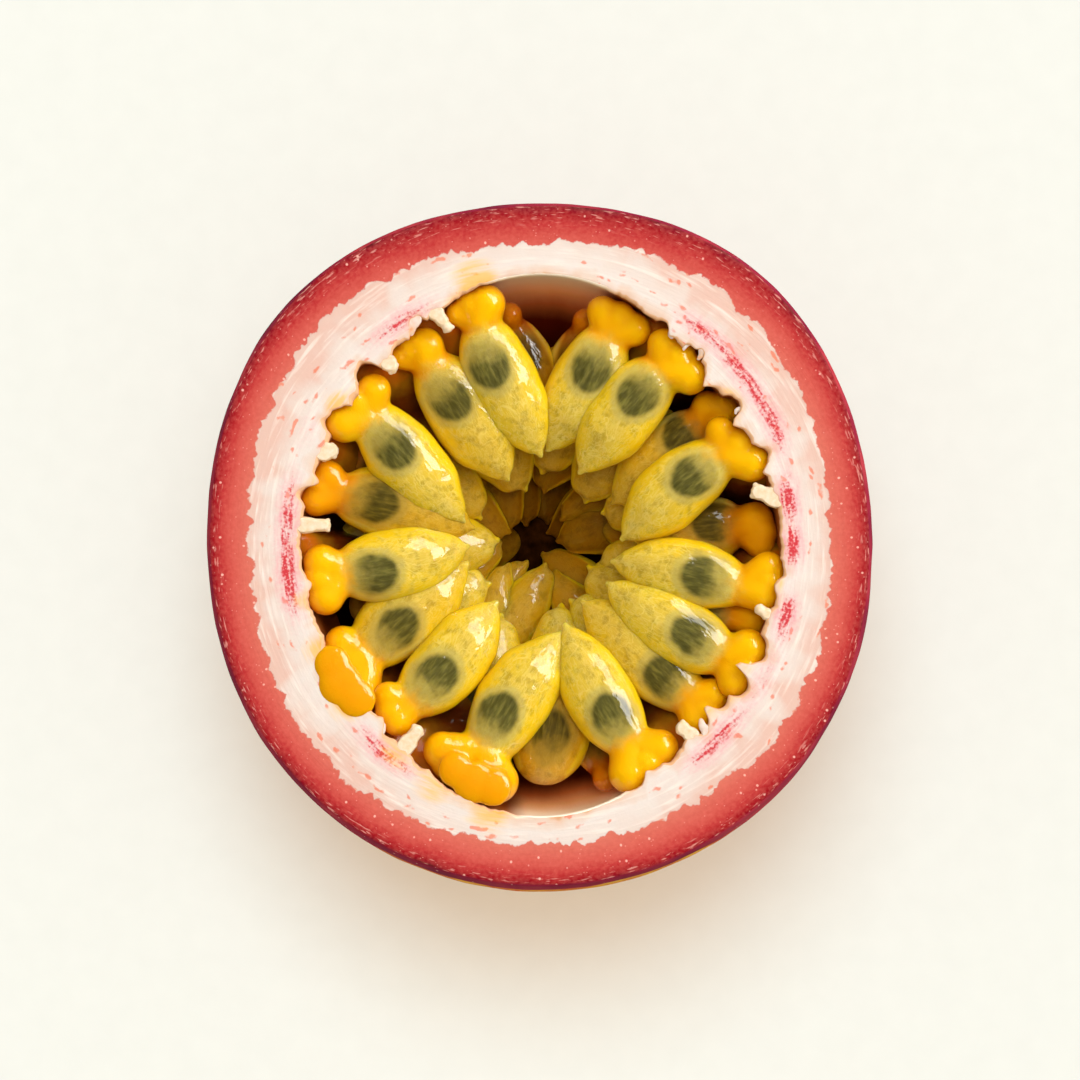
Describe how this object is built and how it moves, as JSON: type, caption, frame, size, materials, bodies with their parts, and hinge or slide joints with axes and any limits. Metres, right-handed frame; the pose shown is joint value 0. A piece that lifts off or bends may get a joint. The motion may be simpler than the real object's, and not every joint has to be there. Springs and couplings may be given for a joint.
{
  "type": "passion fruit half",
  "caption": "Half of a ripe red-skinned passion fruit with red flesh, white pith and a hollow full of yellow juice sacs, cut face up.",
  "frame": {"origin": "under the middle of the half, on the flat spot of its rounded back that it rests on", "axes": "+Z up, square to the level cut face; +Y along the longest way across the cut face; +X to the right seen from above with +Y up"},
  "size_m": [0.0672, 0.0696, 0.035],
  "materials": {
    "red_flesh": "smooth moist skin and red flesh",
    "pith": "soft matt fibrous pith",
    "juice_sac": "wet translucent jelly"
  },
  "bodies": {
    "root": {"behind_aril_01": "juice_sac", "behind_aril_02": "juice_sac", "behind_aril_03": "juice_sac", "behind_aril_04": "juice_sac", "behind_aril_05": "juice_sac", "behind_aril_06": "juice_sac", "deep_arils": "juice_sac", "inner_aril_01": "juice_sac", "inner_aril_02": "juice_sac", "inner_aril_03": "juice_sac", "inner_aril_04": "juice_sac", "inner_aril_05": "juice_sac", "inner_aril_06": "juice_sac", "inner_aril_07": "juice_sac", "inner_aril_08": "juice_sac", "inner_aril_09": "juice_sac", "inner_aril_10": "juice_sac", "inner_aril_11": "juice_sac", "inner_aril_12": "juice_sac", "red_shell": "red_flesh", "ring_aril_01": "juice_sac", "ring_aril_02": "juice_sac", "ring_aril_03": "juice_sac", "ring_aril_04": "juice_sac", "ring_aril_05": "juice_sac", "ring_aril_06": "juice_sac", "ring_aril_07": "juice_sac", "ring_aril_08": "juice_sac", "ring_aril_09": "juice_sac", "ring_aril_10": "juice_sac", "ring_aril_11": "juice_sac", "ring_aril_12": "juice_sac", "ring_aril_13": "juice_sac", "ring_aril_14": "juice_sac", "ring_aril_15": "juice_sac", "ring_aril_16": "juice_sac", "ring_aril_17": "juice_sac", "ring_aril_18": "juice_sac", "white_pith": "pith"}
  },
  "joints": []
}
